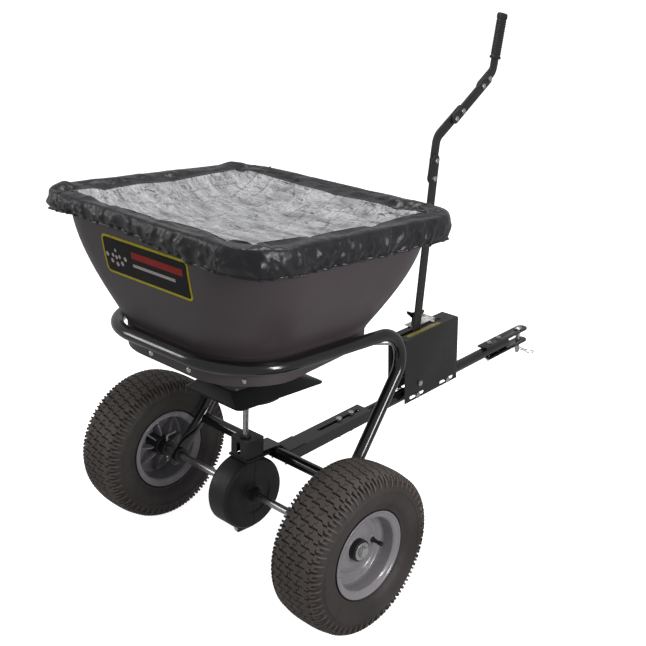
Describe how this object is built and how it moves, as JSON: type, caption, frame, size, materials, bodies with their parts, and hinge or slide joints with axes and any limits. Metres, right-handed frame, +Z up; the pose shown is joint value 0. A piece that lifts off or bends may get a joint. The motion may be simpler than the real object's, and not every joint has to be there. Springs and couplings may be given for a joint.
{
  "type": "tow-behind broadcast spreader",
  "caption": "Towed garden spreader: square hopper with an elastic rain cover on a bent tube frame, turf wheels, gear-driven impeller, upright flow lever and clevis hitch.",
  "frame": {"origin": "on the ground under the middle of the object's box", "axes": "+Z up, +Y forward to the hitch, +X across to the right-hand wheel; the hopper frame leans 5 degrees forward"},
  "size_m": [0.728, 1.2475, 1.0597],
  "materials": {
    "black_paint": "gloss black powder coat",
    "satin_paint": "satin black powder coat",
    "zinc": "bright zinc plate",
    "bright_steel": "bare bright steel",
    "hopper_plastic": "satin moulded polyethylene",
    "black_plastic": "matt moulded plastic",
    "nylon_bushing": "matt nylon",
    "tyre_rubber": "matt rubber with turf tread",
    "valve_rubber": "matt rubber",
    "rim_paint": "satin grey paint",
    "grip_rubber": "matt vinyl",
    "cover_fabric": "crinkled woven nylon",
    "cover_window": "translucent grey vinyl"
  },
  "bodies": {
    "frame": {"frame_tube": "black_paint", "cross_tube": "black_paint", "cross_tube_bolt_left": "zinc", "cross_tube_bolt_right": "zinc", "axle_bushing_left": "nylon_bushing", "axle_bushing_right": "nylon_bushing", "hopper": "hopper_plastic", "deflector_hood": "black_plastic", "shutter_guide": "black_plastic", "gearbox_housing_rear": "black_plastic", "gearbox_housing_front": "black_plastic", "gearbox_bushing_left": "nylon_bushing", "gearbox_bushing_right": "nylon_bushing", "gearbox_bracket": "satin_paint", "shaft_bushing": "nylon_bushing", "drawbar_strap": "black_paint", "drawbar_channel": "black_paint", "drawbar_tube": "black_paint", "channel_bolt_rear": "zinc", "channel_bolt_front": "zinc", "hitch_strap_top": "black_paint", "hitch_strap_bottom": "black_paint", "hitch_bolt_rear": "zinc", "hitch_bolt_front": "zinc", "control_box": "satin_paint", "box_bolt_rear": "zinc", "box_bolt_front": "zinc", "lever_pivot_bolt": "zinc"},
    "cover": {"rain_cover": "cover_fabric", "rain_cover_window": "cover_window"},
    "drive_axle": {"axle": "bright_steel", "hub_left": "black_plastic", "rim_left": "rim_paint", "tyre_left": "tyre_rubber", "valve_stem_left": "valve_rubber", "drive_pin": "zinc", "hub_washer_left": "zinc", "hub_washer_right": "zinc", "hub_bolt_left": "zinc", "hub_bolt_right": "zinc", "ring_gear": "bright_steel"},
    "right_wheel": {"tyre_right": "tyre_rubber", "rim_right": "rim_paint", "hub_right": "black_plastic", "valve_stem_right": "valve_rubber"},
    "spreading_shaft": {"impeller_shaft": "bright_steel", "pinion": "bright_steel", "impeller": "black_plastic", "agitator": "zinc"},
    "lever": {"lever_lower_bar": "satin_paint", "lever_middle_bar": "satin_paint", "lever_link_bar": "satin_paint", "lever_handle_bar": "satin_paint", "handle_grip": "grip_rubber"},
    "shutter": {"shutter_plate": "satin_paint", "control_rod": "zinc"},
    "stop": {"lever_stop": "zinc"},
    "knob": {"stop_knob": "black_plastic"},
    "pin": {"hitch_pin": "zinc"},
    "clip": {"hairpin_clip": "zinc"}
  },
  "joints": [
    {"name": "cover_lift", "type": "slide", "parent": "frame", "child": "cover", "axis": [0, 0.0872, 0.9962], "range_m": [0, 0.12]},
    {"name": "axle_spin", "type": "hinge", "parent": "frame", "child": "drive_axle", "pos_m": [0, -0.4102, 0.165], "axis": [1, 0, 0], "continuous": true},
    {"name": "right_wheel_spin", "type": "hinge", "parent": "drive_axle", "child": "right_wheel", "pos_m": [0.3036, -0.4102, 0.165], "axis": [1, 0, 0], "continuous": true},
    {"name": "impeller_spin", "type": "hinge", "parent": "frame", "child": "spreading_shaft", "pos_m": [0, -0.4102, 0.165], "axis": [0, 0.0872, 0.9962], "continuous": true},
    {"name": "lever_swing", "type": "hinge", "parent": "frame", "child": "lever", "pos_m": [0, 0.1298, 0.226], "axis": [1, 0, 0], "range_deg": [-17, 18.5]},
    {"name": "shutter_slide", "type": "slide", "parent": "frame", "child": "shutter", "axis": [0, 0.9962, -0.0872], "range_m": [-0.0302, 0.0278]},
    {"name": "stop_slide", "type": "slide", "parent": "frame", "child": "stop", "axis": [0, 1, 0], "range_m": [0, 0.066]},
    {"name": "knob_turn", "type": "hinge", "parent": "stop", "child": "knob", "pos_m": [-0.018, 0.1668, 0.36], "axis": [0, 0, 1], "range_deg": [0, 60]},
    {"name": "pin_lift", "type": "slide", "parent": "frame", "child": "pin", "axis": [0, 0, 1], "range_m": [0, 0.017]},
    {"name": "clip_pull", "type": "slide", "parent": "pin", "child": "clip", "axis": [1, 0, 0], "range_m": [0, 0.034]}
  ],
  "couplings": [
    {"joint": "impeller_spin", "follows": "axle_spin", "ratio": -4},
    {"joint": "shutter_slide", "follows": "lever_swing", "m_per_rad": -0.093}
  ]
}
